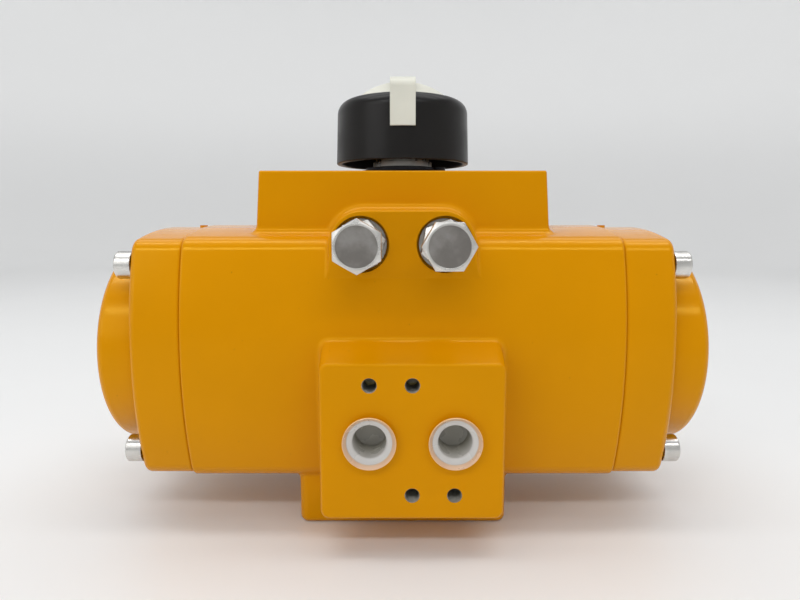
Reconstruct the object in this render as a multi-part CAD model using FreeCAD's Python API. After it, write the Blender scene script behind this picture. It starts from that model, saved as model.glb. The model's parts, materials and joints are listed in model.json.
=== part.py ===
import FreeCAD, Part
import math
import os

# Quarter-turn rack-and-pinion pneumatic actuator, millimetres.
# Origin: on the pinion axis, on the mounting face underneath. +Z is up along the pinion,
# +X is along the cylinder, -Y faces the air ports. Rest is the closed position.

Vector = FreeCAD.Vector
X_AXIS = Vector(1, 0, 0)
Y_AXIS = Vector(0, 1, 0)
Z_AXIS = Vector(0, 0, 1)

# Cylinder and body
bore_radius = 31.5
axis_height = 54.0
body_half_length = 66.0
body_half_depth = 37.5
body_half_height = 40.8
side_bulge_radius = 109.0
crown_radius = 125.0
body_corner_radius = 6.0
seam_edge_radius = 0.9
overlap = 2.0
root_radius = 2.0
block_root_radius = 3.0

# Accessory block on top
block_top = 111.5
block_half_width_top = 44.0
block_half_width_base = 45.5
block_half_depth_top = 24.0
block_half_depth_base = 24.6
block_base = 88.0
block_edge_radius = 0.6
accessory_spacing_x = 80.0
accessory_spacing_y = 30.0
accessory_hole_depth = 10.0

# Mounting foot underneath
foot_half_width = 33.0
foot_half_depth = 29.0
foot_edge_radius = 3.0
foot_height = 24.0
spigot_radius = 17.5
spigot_depth = 3.0
foot_pitch_circle = 50.0
foot_hole_radius = 2.5
foot_hole_depth = 12.0

# Air-valve pad on the front
pad_face = 49.0
pad_centre_x = 2.6
pad_half_width = 26.0
pad_bottom = 11.9
pad_top = 57.1
pad_top_root = 61.5
pad_side_draft = 1.0
pad_corner_radius = 2.5
pad_edge_radius = 1.0
port_height = 35.1
port_half_spacing = 12.0
port_radius = 5.72
port_depth = 12.0
passage_radius = 3.0
pad_hole_offset = 16.0
pad_hole_depth = 10.0
small_thread_radius = 2.1

# Air channel from the second port to both ends
channel_radius = 2.0
channel_y = -20.8
channel_z = axis_height - 31.3
riser_y = -36.5

# Travel stops
stop_half_spacing = 12.35
stop_height = 89.4
stop_boss_face = 34.5
stop_boss_half_width = 21.8
stop_boss_top = 99.3
stop_boss_corner_radius = 10.0
stop_boss_edge_radius = 0.6
stop_boss_root_radius = 1.5
stop_boss_bottom = 70.0
stop_recess_radius = 8.3
stop_recess_depth = 4.0
stop_thread_radius = 4.0
running_clearance = 0.05
stop_tip_y = -14.05
stop_tip_chamfer = 0.8
stop_head_face = 51.8
stop_head_height = 5.3
stop_dish_radius = 5.7
stop_dish_depth = 0.3
stop_bolt_turns = {-1: 30.0, 1: 0.0}
lock_nut_turns = {-1: 12.0, 1: 20.0}
hex_across_flats = 13.0
hex_corner_cut = 0.35
lock_nut_height = 6.5
seal_washer_thickness = 1.3
seal_washer_radius = 7.6

# Cam that meets the stops
cam_bottom = 85.4
cam_top = 93.4
cam_radius = 20.5
cam_flat = 14.0
cam_hub_radius = 15.9
cam_seat_radius = 11.3
cam_seat_flat = 10.2
pocket_radius = 21.3
pocket_floor = 80.0
pocket_ceiling = 94.4

# Gear and racks
gear_module = 1.5
gear_teeth = 18
pressure_angle = math.radians(20.0)
tooth_thinning = 0.08
pitch_radius = gear_module * gear_teeth / 2
tooth_pitch = math.pi * gear_module
rack_addendum = 0.95 * gear_module
dedendum = 1.25 * gear_module
gear_half_height = 14.0
rack_half_height = 12.0
rack_first_tooth = -6
rack_last_tooth = 1
rack_end = -28.6
flank_steps = 5

# Pinion shaft
pinion_bottom = 3.5
pinion_top = 131.5
lower_journal_radius = 15.75
lower_bore_radius = 16.0
lower_journal_top = 30.0
shaft_radius = 11.5
shoulder_radius = 12.5
shoulder_start = 72.0
upper_journal_radius = 10.0
upper_bore_radius = 10.25
spindle_radius = 9.0
spindle_start = 116.0
socket_width = 14.0
socket_depth = 17.0
spindle_slot_width = 4.0
spindle_slot_depth = 4.0
screw_hole_radius = 2.5
screw_hole_depth = 16.0

# Grooves in the pinion: inner radius, outer radius, lower and upper height
lower_o_ring_groove = (13.0, lower_journal_radius, 5.2, 8.2)
lower_bearing_groove = (13.8, lower_journal_radius, 11.0, 19.0)
upper_bearing_groove = (8.4, upper_journal_radius, 96.0, 102.0)
upper_o_ring_groove = (7.9, upper_journal_radius, 104.6, 107.4)
snap_ring_groove = (9.2, upper_journal_radius, 112.75, 114.05)
grooves = [lower_o_ring_groove, lower_bearing_groove, upper_bearing_groove, upper_o_ring_groove,
           snap_ring_groove]

# Rings on the pinion and the pistons
ring_play = 0.1
thread_play = 0.02
ring_split = 1.0
thrust_washer_radius = 16.0
snap_ring_radius = 12.6
snap_ring_mouth = 8.0
snap_lug_x = 12.2
snap_lug_y = 5.4
snap_lug_radius = 2.1
snap_lug_hole_radius = 0.9

# Pistons
piston_inner_face = 31.5
piston_thickness = 12.0
piston_radius = 31.25
arm_back_radius = 30.9
piston_recess_radius = 20.0
piston_recess_depth = 4.0
piston_o_ring_x = 35.2
piston_o_ring_radius = 30.0
piston_o_ring_section = 1.3
piston_o_ring_groove_floor = 28.6
piston_o_ring_groove_width = 3.4
piston_wear_ring_x = 40.4
wear_ring_width = 4.2
wear_ring_inner_radius = 29.8
wear_ring_outer_radius = 31.45
guide_inner_radius = 29.3
guide_outer_radius = 31.42
guide_half_height = 8.0
guide_start = -25.0
guide_end = 22.0

# End caps
cap_inset = 0.7
cap_flange = 15.4
cap_edge_radius = 2.0
dome_radius = 33.3
dome_height = 11.9
dome_rim_radius = 2.6
cap_chamber_radius = 28.0
cap_chamber_depth = 21.5
cap_screw_y = 28.0
cap_screw_z = 29.0
cap_screw_head_radius = 4.25
cap_screw_head_height = 5.0
cap_screw_edge_radius = 0.6
cap_screw_socket_width = 4.0
cap_screw_socket_depth = 3.0
pip_x = 69.3
pip_radius = 1.3
pip_height = 0.7
cap_screw_reach = 11.5
cap_clearance_radius = 2.75
seal_inner_radius = 33.2
seal_width = 1.7
seal_depth = 1.4
seal_lobe_radius = 2.7
cap_slot_inset = 0.5

# Position indicator
indicator_rim = 115.25
indicator_rim_radius = 22.44
indicator_shoulder_radius = 21.95
indicator_top = 136.0
indicator_corner = 4.6
indicator_corner_radius = 4.5
indicator_rim_edge_radius = 0.4
indicator_wall = 1.8
hub_wall = 2.4
hub_lift = 4.0
dome_base_radius = 16.5
dome_rise = 6.4
pointer_half_width = 3.9
pointer_face = 22.8
pointer_end = 125.1
pointer_fold = 2.5
pointer_crest = 143.0
pointer_thickness = 1.8
pointer_bite = 0.8
indicator_screw_head = 5.5
indicator_screw_head_height = 2.2
indicator_screw_slot = 1.2
indicator_screw_seat = 132.8
screw_head_play = 0.7

# Port plugs
plug_flange_radius = 7.55
plug_flange_thickness = 2.4
plug_body_radius = 5.66
plug_length = 9.5
plug_recess_radius = 4.75
plug_floor = 1.2
plug_edge_radius = 0.7


def rod_x(radius, x_start, x_end, y, z):
    """Cylinder along X."""
    return Part.makeCylinder(radius, x_end - x_start, Vector(x_start, y, z), X_AXIS)


def rod_y(radius, y_start, y_end, x, z):
    """Cylinder along Y."""
    return Part.makeCylinder(radius, y_end - y_start, Vector(x, y_start, z), Y_AXIS)


def rod_z(radius, z_start, z_end, x=0.0, y=0.0):
    """Cylinder along Z."""
    return Part.makeCylinder(radius, z_end - z_start, Vector(x, y, z_start), Z_AXIS)


def ring_x(inner, outer, x_start, x_end):
    """Flat ring around the cylinder axis."""
    outside = rod_x(outer, x_start, x_end, 0, axis_height)
    return outside.cut(rod_x(inner, x_start, x_end, 0, axis_height))


def ring_z(inner, outer, z_start, z_end):
    """Flat ring around the pinion axis."""
    return rod_z(outer, z_start, z_end).cut(rod_z(inner, z_start, z_end))


def block(x_start, x_end, y_start, y_end, z_start, z_end):
    """Rectangular block between two corners."""
    corner = Vector(x_start, y_start, z_start)
    return Part.makeBox(x_end - x_start, y_end - y_start, z_end - z_start, corner)


def extrude(points, direction):
    """Prism from a closed polygon."""
    wire = Part.makePolygon(points + [points[0]])
    return Part.Face(wire).extrude(direction)


def turned(outline):
    """Solid of revolution about Z from (radius, height) points."""
    points = [Vector(radius, 0, height) for radius, height in outline]
    wire = Part.makePolygon(points + [points[0]])
    return Part.Face(wire).revolve(Vector(0, 0, 0), Z_AXIS, 360)


def hexagon_y(across_flats, y_start, y_end, x, z, turn):
    """Hexagonal prism along Y."""
    reach = across_flats / math.sqrt(3)
    points = []
    for index in range(6):
        angle = math.radians(60 * index + turn)
        points.append(Vector(x + reach * math.cos(angle), y_start, z + reach * math.sin(angle)))
    return extrude(points, Vector(0, y_end - y_start, 0))


def pick_edges(shape, test):
    """Edges of a solid that pass a test."""
    return [edge for edge in shape.Edges if test(edge)]


def half_turn(shape):
    """Copy turned half a turn about the pinion axis."""
    copy = shape.copy()
    copy.rotate(Vector(0, 0, 0), Z_AXIS, 180)
    return copy


def mirrored(shape):
    """Copy mirrored from the right end to the left end."""
    return shape.mirror(Vector(0, 0, 0), X_AXIS)


def barrel(x_start, x_end, inset):
    """Bulged, round-cornered section of the body, run along X."""
    side = body_half_depth - inset
    crown = body_half_height - inset
    side_axis = side - side_bulge_radius
    crown_axis = crown - crown_radius
    # the bulged side and the crowned top meet where both circles pass through one point
    corner_y = side
    for _ in range(30):
        corner_z = crown_axis + math.sqrt(crown_radius ** 2 - corner_y ** 2)
        corner_y = side_axis + math.sqrt(side_bulge_radius ** 2 - corner_z ** 2)

    def point(y, z):
        return Vector(x_start, y, axis_height + z)

    edges = [
        Part.Arc(point(-corner_y, -corner_z), point(-side, 0), point(-corner_y, corner_z)).toShape(),
        Part.Arc(point(-corner_y, corner_z), point(0, crown), point(corner_y, corner_z)).toShape(),
        Part.Arc(point(corner_y, corner_z), point(side, 0), point(corner_y, -corner_z)).toShape(),
        Part.Arc(point(corner_y, -corner_z), point(0, -crown), point(-corner_y, -corner_z)).toShape(),
    ]
    solid = Part.Face(Part.Wire(edges)).extrude(Vector(x_end - x_start, 0, 0))
    long_edges = pick_edges(solid, lambda edge: edge.BoundBox.XLength > 1)
    return solid.makeFillet(body_corner_radius - inset, long_edges)


def end_edges(solid, x):
    """Edges that lie in the plane at x."""
    def in_plane(edge):
        return abs(edge.BoundBox.XMin - x) < 0.01 and abs(edge.BoundBox.XMax - x) < 0.01

    return pick_edges(solid, in_plane)


def tapered_block():
    """Drafted accessory block with rounded upright and top edges."""
    def rectangle(half_width, half_depth, height):
        """Closed rectangle at one height."""
        corners = [(-1, -1), (1, -1), (1, 1), (-1, 1), (-1, -1)]
        return Part.makePolygon([Vector(half_width * i, half_depth * j, height) for i, j in corners])

    base = rectangle(block_half_width_base, block_half_depth_base, block_base)
    top = rectangle(block_half_width_top, block_half_depth_top, block_top)
    solid = Part.makeLoft([base, top], True, True)
    rounded = pick_edges(solid, lambda edge: edge.BoundBox.ZMax > block_top - 1)
    return solid.makeFillet(block_edge_radius, rounded)


def stop_boss():
    """Raised plate that carries the two stop screws."""
    plate = block(-stop_boss_half_width, stop_boss_half_width, -stop_boss_face,
                  -block_half_depth_top + overlap, stop_boss_bottom, stop_boss_top)

    def upper_corner(edge):
        return edge.BoundBox.YLength > 1 and edge.BoundBox.ZMin > stop_boss_top - 1

    return plate.makeFillet(stop_boss_corner_radius, pick_edges(plate, upper_corner))


def valve_pad():
    """Drafted pad for the air valve, with a sloping top."""
    def outline(grow, y, top):
        left = pad_centre_x - pad_half_width - grow
        right = pad_centre_x + pad_half_width + grow
        corners = [(left, pad_bottom), (right, pad_bottom), (right, top), (left, top), (left, pad_bottom)]
        return Part.makePolygon([Vector(x, y, z) for x, z in corners])

    depth = pad_face - foot_half_depth
    slope = (pad_top_root - pad_top) / (pad_face - body_half_depth)
    front = outline(0.0, -pad_face, pad_top)
    back = outline(pad_side_draft, -foot_half_depth, pad_top + slope * depth)
    solid = Part.makeLoft([back, front], True, True)
    corners = pick_edges(solid, lambda edge: edge.BoundBox.YLength > depth - 1)
    solid = solid.makeFillet(pad_corner_radius, corners)
    rim = pick_edges(solid, lambda edge: edge.BoundBox.YMax < -pad_face + 0.01)
    return solid.makeFillet(pad_edge_radius, rim)


def foot():
    """Rectangular mounting foot with rounded lower edges."""
    solid = block(-foot_half_width, foot_half_width, -foot_half_depth, foot_half_depth, 0, foot_height)
    uprights = pick_edges(solid, lambda edge: edge.BoundBox.ZLength > 1)
    solid = solid.makeFillet(foot_edge_radius, uprights)
    lower = pick_edges(solid, lambda edge: edge.BoundBox.ZMax < 0.01)
    return solid.makeFillet(foot_edge_radius - 1, lower)


def touches(shape, place):
    """Whether a point lies on the surface of a solid."""
    return Part.Shell(shape.Faces).distToShape(Part.Vertex(place))[0] < 0.001


def root_edges(solid, first, second):
    """Edges of a fused solid where the surfaces of two of its parts meet."""
    def on_both(edge):
        middle = edge.valueAt((edge.FirstParameter + edge.LastParameter) / 2)
        return touches(first, middle) and touches(second, middle)

    return pick_edges(solid, on_both)


def upper_body(tube):
    """Cylinder with the accessory block and the stop boss, their roots and front edges rounded."""
    top = tapered_block()
    boss = stop_boss()
    solid = tube.fuse([top, boss]).removeSplitter()
    solid = solid.makeFillet(block_root_radius, root_edges(solid, tube, top) + root_edges(solid, top, boss))
    # the crease under the boss is nearly flat, so it stays sharp
    roots = root_edges(solid, tube, boss)
    roots = [edge for edge in roots if edge.BoundBox.XLength < stop_boss_half_width]
    solid = solid.makeFillet(stop_boss_root_radius, roots)

    def on_boss_front(edge):
        box = edge.BoundBox
        inside = box.XMin > -body_half_length / 2 and box.XMax < body_half_length / 2
        return inside and box.YMax < -stop_boss_face + 0.02 and box.ZMax > stop_height - stop_recess_radius

    return solid.makeFillet(stop_boss_edge_radius, pick_edges(solid, on_boss_front))


def lower_body(tube):
    """Cylinder with the mounting foot and the valve pad, their roots rounded."""
    base = foot()
    pad = valve_pad()
    solid = tube.fuse(base).removeSplitter()
    solid = solid.makeFillet(root_radius, root_edges(solid, tube, base))
    solid = solid.fuse(pad).removeSplitter()
    return solid.makeFillet(root_radius, root_edges(solid, tube, pad) + root_edges(solid, base, pad))


def make_body():
    """Cast body: cylinder, accessory block, stop boss, valve pad and foot."""
    tube = barrel(-body_half_length, body_half_length, 0.0)
    rims = end_edges(tube, body_half_length) + end_edges(tube, -body_half_length)
    tube = tube.makeFillet(seam_edge_radius, rims)
    solid = upper_body(tube).fuse(lower_body(tube)).removeSplitter()
    return solid.cut(body_voids())


def body_voids():
    """Everything bored out of the body."""
    voids = [
        rod_x(bore_radius, -body_half_length, body_half_length, 0, axis_height),
        rod_z(spigot_radius, 0, spigot_depth),
        rod_z(lower_bore_radius, 0, axis_height),
        rod_z(pocket_radius, pocket_floor, pocket_ceiling),
        rod_z(upper_bore_radius, pocket_ceiling, block_top),
    ]
    for side in (-1, 1):
        x = side * stop_half_spacing
        thread = stop_thread_radius + running_clearance
        voids.append(rod_y(stop_recess_radius, -stop_boss_face, stop_recess_floor(), x, stop_height))
        voids.append(rod_y(thread, -stop_boss_face, stop_tip_y, x, stop_height))
        for y in (-accessory_spacing_y / 2, accessory_spacing_y / 2):
            voids.append(rod_z(small_thread_radius, block_top - accessory_hole_depth, block_top,
                               side * accessory_spacing_x / 2, y))
        ends = sorted((side * body_half_length, side * (body_half_length - cap_screw_reach - overlap)))
        voids += [rod_x(small_thread_radius, ends[0], ends[1], y, z) for y, z in cap_screw_places()]
        port_x = pad_centre_x + side * port_half_spacing
        voids.append(rod_y(port_radius, -pad_face, -pad_face + port_depth, port_x, port_height))
    for x_step, z_step in ((-1, 1), (0, 1), (0, -1), (1, -1)):
        x = pad_centre_x + x_step * port_half_spacing
        z = port_height + z_step * pad_hole_offset
        voids.append(rod_y(small_thread_radius, -pad_face, -pad_face + pad_hole_depth, x, z))
    for index in range(4):
        angle = math.radians(45 + 90 * index)
        x = foot_pitch_circle / 2 * math.cos(angle)
        y = foot_pitch_circle / 2 * math.sin(angle)
        voids.append(rod_z(foot_hole_radius, 0, foot_hole_depth, x, y))
    return voids[0].fuse(voids[1:] + air_passages())


def air_passages():
    """First port to the middle of the bore, second port to both ends."""
    inlet_x = pad_centre_x - port_half_spacing
    outlet_x = pad_centre_x + port_half_spacing
    start = -pad_face + port_depth - overlap
    return [
        rod_y(passage_radius, start, -bore_radius / 2, inlet_x, port_height),
        rod_y(passage_radius, start, riser_y + channel_radius, outlet_x, port_height),
        rod_z(channel_radius, channel_z, port_height, outlet_x, riser_y),
        rod_y(channel_radius, riser_y, channel_y, outlet_x, channel_z),
        rod_x(channel_radius, -body_half_length, body_half_length, channel_y, channel_z),
    ]


def seal_path(grow, x_start, x_end):
    """Round outline with a lobe that takes in the air channel."""
    lobe = rod_x(seal_lobe_radius + grow, x_start, x_end, channel_y, channel_z)
    reach = math.hypot(channel_y, channel_z - axis_height)
    half = seal_lobe_radius + grow
    bridge = block(x_start, x_end, 0, reach, axis_height - half, axis_height + half)
    turn = math.degrees(math.atan2(channel_z - axis_height, channel_y))
    bridge.rotate(Vector(0, 0, axis_height), X_AXIS, turn)
    return rod_x(seal_inner_radius + grow, x_start, x_end, 0, axis_height).fuse([lobe, bridge])


def make_end_seal():
    """Profiled rubber seal of the right end cap."""
    start = body_half_length
    end = body_half_length + seal_depth
    return seal_path(seal_width, start, end).cut(seal_path(0.0, start, end)).removeSplitter()


def cap_screw_places():
    """(y, z) of the four screws of one end cap."""
    return [(y, axis_height + z) for y in (-cap_screw_y, cap_screw_y) for z in (-cap_screw_z, cap_screw_z)]


def make_end_cap():
    """Right end cap: flange with a pip on top, round dome and hollow chamber."""
    face = body_half_length
    shoulder = face + cap_flange
    crown = shoulder + dome_height
    flange = barrel(face, shoulder, cap_inset)
    flange = flange.makeFillet(cap_edge_radius, end_edges(flange, shoulder))
    flange = flange.makeFillet(seam_edge_radius, end_edges(flange, face))
    dome = rod_x(dome_radius, face + overlap, crown, 0, axis_height)
    dome = dome.makeFillet(dome_rim_radius, end_edges(dome, crown))
    top = axis_height + body_half_height - cap_inset
    pip = rod_z(pip_radius, top - overlap, top + pip_height, pip_x)
    solid = flange.fuse([dome, pip]).removeSplitter()
    solid = solid.cut(rod_x(cap_chamber_radius, face, face + cap_chamber_depth, 0, axis_height))
    solid = solid.cut(make_end_seal())
    slot_depth = 2 * seal_depth
    slot = seal_path(-cap_slot_inset, face, face + slot_depth)
    # the slot leads the air channel into the chamber, and the face inside the bore stays whole
    solid = solid.cut(slot.cut(rod_x(bore_radius, face, face + slot_depth, 0, axis_height)))
    for y, z in cap_screw_places():
        solid = solid.cut(rod_x(cap_clearance_radius, face, shoulder, y, z))
    return solid


def make_cap_screws():
    """Four socket-head screws of the right end cap."""
    seat = body_half_length + cap_flange
    crown = seat + cap_screw_head_height
    thread = small_thread_radius - thread_play
    screws = []
    for y, z in cap_screw_places():
        head = rod_x(cap_screw_head_radius, seat, crown, y, z)
        head = head.makeFillet(cap_screw_edge_radius, end_edges(head, crown))
        shank = rod_x(thread, body_half_length - cap_screw_reach, seat, y, z)
        socket = hexagon_y(cap_screw_socket_width, 0, cap_screw_socket_depth, 0, 0, 0)
        socket.rotate(Vector(0, 0, 0), Z_AXIS, -90)
        socket.translate(Vector(crown - cap_screw_socket_depth, y, z))
        screws.append(head.fuse(shank).cut(socket))
    return Part.makeCompound(screws)


def involute_point(base_radius, radius, offset):
    """Point of an involute flank at a radius, turned by an offset angle."""
    roll = math.sqrt(max(radius ** 2 / base_radius ** 2 - 1, 0.0))
    angle = offset - (roll - math.atan(roll))
    return Vector(radius * math.cos(angle), radius * math.sin(angle), 0)


def gear_blank(bottom, top):
    """Spur gear with one tooth pointing along -Y."""
    base_radius = pitch_radius * math.cos(pressure_angle)
    tip_radius = pitch_radius + gear_module
    floor_radius = pitch_radius - dedendum
    involute_at_pitch = math.tan(pressure_angle) - pressure_angle
    half_tooth = (tooth_pitch / 2 - tooth_thinning) / (2 * pitch_radius) + involute_at_pitch
    step = 2 * math.pi / gear_teeth
    start = -math.pi / 2
    flank_step = (tip_radius - base_radius) / flank_steps
    flank_radii = [base_radius + flank_step * index for index in range(flank_steps + 1)]
    edges = []
    for tooth in range(gear_teeth):
        turn = FreeCAD.Rotation(Z_AXIS, math.degrees(start + tooth * step))
        right = [involute_point(base_radius, radius, half_tooth) for radius in flank_radii]
        left = [Vector(point.x, -point.y, 0) for point in right]
        root_left = Vector(floor_radius * math.cos(half_tooth), -floor_radius * math.sin(half_tooth), 0)
        root_right = Vector(root_left.x, -root_left.y, 0)
        gap_angle = step / 2
        gap = Vector(floor_radius * math.cos(gap_angle), floor_radius * math.sin(gap_angle), 0)
        next_root = FreeCAD.Rotation(Z_AXIS, math.degrees(step)).multVec(root_left)
        left_curve = Part.BSplineCurve()
        left_curve.interpolate([turn.multVec(point) for point in left])
        right_curve = Part.BSplineCurve()
        right_curve.interpolate([turn.multVec(point) for point in reversed(right)])
        tip = Vector(tip_radius, 0, 0)
        root_arc = Part.Arc(turn.multVec(root_right), turn.multVec(gap), turn.multVec(next_root))
        edges.append(Part.LineSegment(turn.multVec(root_left), turn.multVec(left[0])).toShape())
        edges.append(left_curve.toShape())
        edges.append(Part.Arc(turn.multVec(left[-1]), turn.multVec(tip), turn.multVec(right[-1])).toShape())
        edges.append(right_curve.toShape())
        edges.append(Part.LineSegment(turn.multVec(right[0]), turn.multVec(root_right)).toShape())
        edges.append(root_arc.toShape())
    solid = Part.Face(Part.Wire(edges)).extrude(Vector(0, 0, top - bottom))
    solid.translate(Vector(0, 0, bottom))
    return solid


def double_flat(radius, flat, bottom, top):
    """Round bar with two opposite flats."""
    return rod_z(radius, bottom, top).common(block(-radius, radius, -flat, flat, bottom, top))


def make_pinion():
    """Pinion shaft with its gear, seats, grooves and drive socket."""
    gear_bottom = axis_height - gear_half_height
    gear_top = axis_height + gear_half_height
    parts = [
        rod_z(lower_journal_radius, pinion_bottom, lower_journal_top),
        rod_z(shaft_radius, lower_journal_top, cam_bottom),
        gear_blank(gear_bottom, gear_top),
        rod_z(shoulder_radius, shoulder_start, cam_bottom),
        double_flat(cam_seat_radius, cam_seat_flat, cam_bottom, cam_top),
        rod_z(upper_journal_radius, cam_top, spindle_start),
        rod_z(spindle_radius, spindle_start, pinion_top),
    ]
    solid = parts[0].fuse(parts[1:])
    for inner, outer, bottom, top in grooves:
        solid = solid.cut(ring_z(inner, outer + overlap, bottom, top))
    square = block(-socket_width / 2, socket_width / 2, -socket_width / 2, socket_width / 2,
                   pinion_bottom, pinion_bottom + socket_depth)
    turned_square = square.copy()
    turned_square.rotate(Vector(0, 0, 0), Z_AXIS, 45)
    solid = solid.cut(square.fuse(turned_square))
    slot = block(-spindle_radius, spindle_radius, -spindle_slot_width / 2, spindle_slot_width / 2,
                 pinion_top - spindle_slot_depth, pinion_top)
    solid = solid.cut(slot)
    return solid.cut(rod_z(screw_hole_radius, pinion_top - screw_hole_depth, pinion_top))


def split_bearing(groove, housing_radius):
    """Split plastic bearing ring that sits in a pinion groove."""
    inner, _, bottom, top = groove
    ring = ring_z(inner, housing_radius - running_clearance, bottom + ring_play, top - ring_play)
    gap = block(inner / 2, housing_radius, -ring_split / 2, ring_split / 2, bottom, top)
    return ring.cut(gap)


def groove_o_ring(groove, housing_radius):
    """O-ring that sits in a pinion groove."""
    inner, _, bottom, top = groove
    outer = housing_radius - running_clearance
    section = (outer - inner) / 2 - thread_play
    return Part.makeTorus(inner + (outer - inner) / 2, section, Vector(0, 0, (bottom + top) / 2), Z_AXIS)


def make_snap_ring():
    """Open spring ring that holds the pinion from above."""
    inner, _, groove_bottom, groove_top = snap_ring_groove
    bottom = groove_bottom + running_clearance
    top = groove_top - running_clearance
    ring = ring_z(inner + ring_play, snap_ring_radius, bottom, top)
    half = snap_ring_mouth / 2
    ring = ring.cut(block(0, snap_ring_radius + overlap, -half, half, bottom, top))
    for y in (-snap_lug_y, snap_lug_y):
        disc = rod_z(snap_lug_radius, bottom, top, snap_lug_x, y)
        hole = rod_z(snap_lug_hole_radius, bottom, top, snap_lug_x, y)
        ring = ring.fuse(disc).cut(hole)
    return ring.removeSplitter()


def make_stop_cam():
    """Cam with two flats a quarter turn apart, each meeting one stop screw."""
    disc = rod_z(cam_radius, cam_bottom, cam_top)
    window = block(-cam_flat, cam_radius, -cam_flat, cam_radius, cam_bottom, cam_top)
    quarter = block(-cam_radius, 0, -cam_radius, 0, cam_bottom, cam_top)
    corner = quarter.cut(rod_z(cam_hub_radius, cam_bottom, cam_top))
    hole_radius = cam_seat_radius + running_clearance
    hole_flat = cam_seat_flat + running_clearance
    hole = double_flat(hole_radius, hole_flat, cam_bottom, cam_top)
    return disc.common(window).cut(corner).cut(hole)


def rack_outline():
    """Toothed edge of the front rack as (x, y) points, from its free end."""
    root = -(pitch_radius + dedendum)
    tip = -(pitch_radius - rack_addendum)
    slope = math.tan(pressure_angle)
    half_at_pitch = (tooth_pitch / 2 - tooth_thinning) / 2
    points = []
    for tooth in range(rack_first_tooth, rack_last_tooth + 1):
        centre = (tooth + 0.5) * tooth_pitch
        half_root = half_at_pitch + dedendum * slope
        half_tip = half_at_pitch - rack_addendum * slope
        points.append((centre - half_root, root))
        points.append((centre - half_tip, tip))
        points.append((centre + half_tip, tip))
        points.append((centre + half_root, root))
    return points


def make_piston():
    """Right piston: head, rack arm along the front of the bore, and its grooves."""
    outer_face = piston_inner_face + piston_thickness
    head = rod_x(piston_radius, piston_inner_face, outer_face, 0, axis_height)
    root = -(pitch_radius + dedendum)
    outline = [(rack_end, root)] + rack_outline()
    outline += [(piston_inner_face + overlap, root), (piston_inner_face + overlap, -arm_back_radius)]
    outline += [(rack_end, -arm_back_radius)]
    low = axis_height - rack_half_height
    arm = extrude([Vector(x, y, low) for x, y in outline], Vector(0, 0, 2 * rack_half_height))
    arm = arm.common(rod_x(arm_back_radius, rack_end, piston_inner_face + overlap, 0, axis_height))
    web_start = pitch_radius + gear_module + overlap
    web = block(web_start, piston_inner_face + overlap, -bore_radius / 2 - overlap, -bore_radius / 4,
                low + overlap, low + 2 * rack_half_height - overlap)
    solid = head.fuse([arm, web])
    recess_floor = outer_face - piston_recess_depth
    solid = solid.cut(rod_x(piston_recess_radius, recess_floor, outer_face, 0, axis_height))
    half = piston_o_ring_groove_width / 2
    solid = solid.cut(ring_x(piston_o_ring_groove_floor, bore_radius + overlap,
                             piston_o_ring_x - half, piston_o_ring_x + half))
    half = wear_ring_width / 2 + ring_play
    solid = solid.cut(ring_x(wear_ring_inner_radius - ring_play, bore_radius + overlap,
                             piston_wear_ring_x - half, piston_wear_ring_x + half))
    return solid.cut(make_guide_pad())


def make_guide_pad():
    """Plastic pad in the back of the rack arm, sliding on the bore."""
    ring = ring_x(guide_inner_radius, guide_outer_radius, guide_start, guide_end)
    window = block(guide_start, guide_end, -bore_radius, 0, axis_height - guide_half_height,
                   axis_height + guide_half_height)
    return ring.common(window)


def make_piston_o_ring():
    """O-ring of the right piston."""
    centre = Vector(piston_o_ring_x, 0, axis_height)
    return Part.makeTorus(piston_o_ring_radius, piston_o_ring_section, centre, X_AXIS)


def make_wear_ring():
    """Wear ring of the right piston, split at the top."""
    start = piston_wear_ring_x - wear_ring_width / 2
    end = start + wear_ring_width
    ring = ring_x(wear_ring_inner_radius, wear_ring_outer_radius, start, end)
    half = ring_split / 2
    return ring.cut(block(start, end, -half, half, axis_height, axis_height + bore_radius))


def dressed_hexagon(y_start, y_end, x, turn, chamfer_front, chamfer_back):
    """Hexagon with its corners turned off by a shallow cone at the chosen ends."""
    solid = hexagon_y(hex_across_flats, y_start, y_end, x, stop_height, turn)
    length = y_end - y_start
    rim = hex_across_flats / 2 - hex_corner_cut
    reach = rim + length * math.sqrt(3)
    if chamfer_front:
        cone = Part.makeCone(rim, reach, length, Vector(x, y_start, stop_height), Y_AXIS)
        solid = solid.common(cone)
    if chamfer_back:
        cone = Part.makeCone(rim, reach, length, Vector(x, y_end, stop_height), Y_AXIS * -1)
        solid = solid.common(cone)
    return solid


def make_stop_bolt(side):
    """Hex-head stop screw; its tip meets the cam."""
    x = side * stop_half_spacing
    head_back = -stop_head_face + stop_head_height
    head = dressed_hexagon(-stop_head_face, head_back, x, stop_bolt_turns[side], True, False)
    dish = rod_y(stop_dish_radius, -stop_head_face, -stop_head_face + stop_dish_depth, x, stop_height)
    shank = rod_y(stop_thread_radius, head_back, stop_tip_y, x, stop_height)
    tip = pick_edges(shank, lambda edge: edge.BoundBox.YMin > stop_tip_y - 0.01)
    return head.cut(dish).fuse(shank.makeChamfer(stop_tip_chamfer, tip))


def stop_recess_floor():
    """Y of the floor of the recess round a stop screw."""
    return -stop_boss_face + stop_recess_depth


def make_seal_washer(side):
    """Sealing washer under a lock nut."""
    x = side * stop_half_spacing
    front = stop_recess_floor() - seal_washer_thickness
    washer = rod_y(seal_washer_radius, front, stop_recess_floor(), x, stop_height)
    hole = rod_y(stop_thread_radius + running_clearance, front, stop_recess_floor(), x, stop_height)
    return washer.cut(hole)


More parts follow.
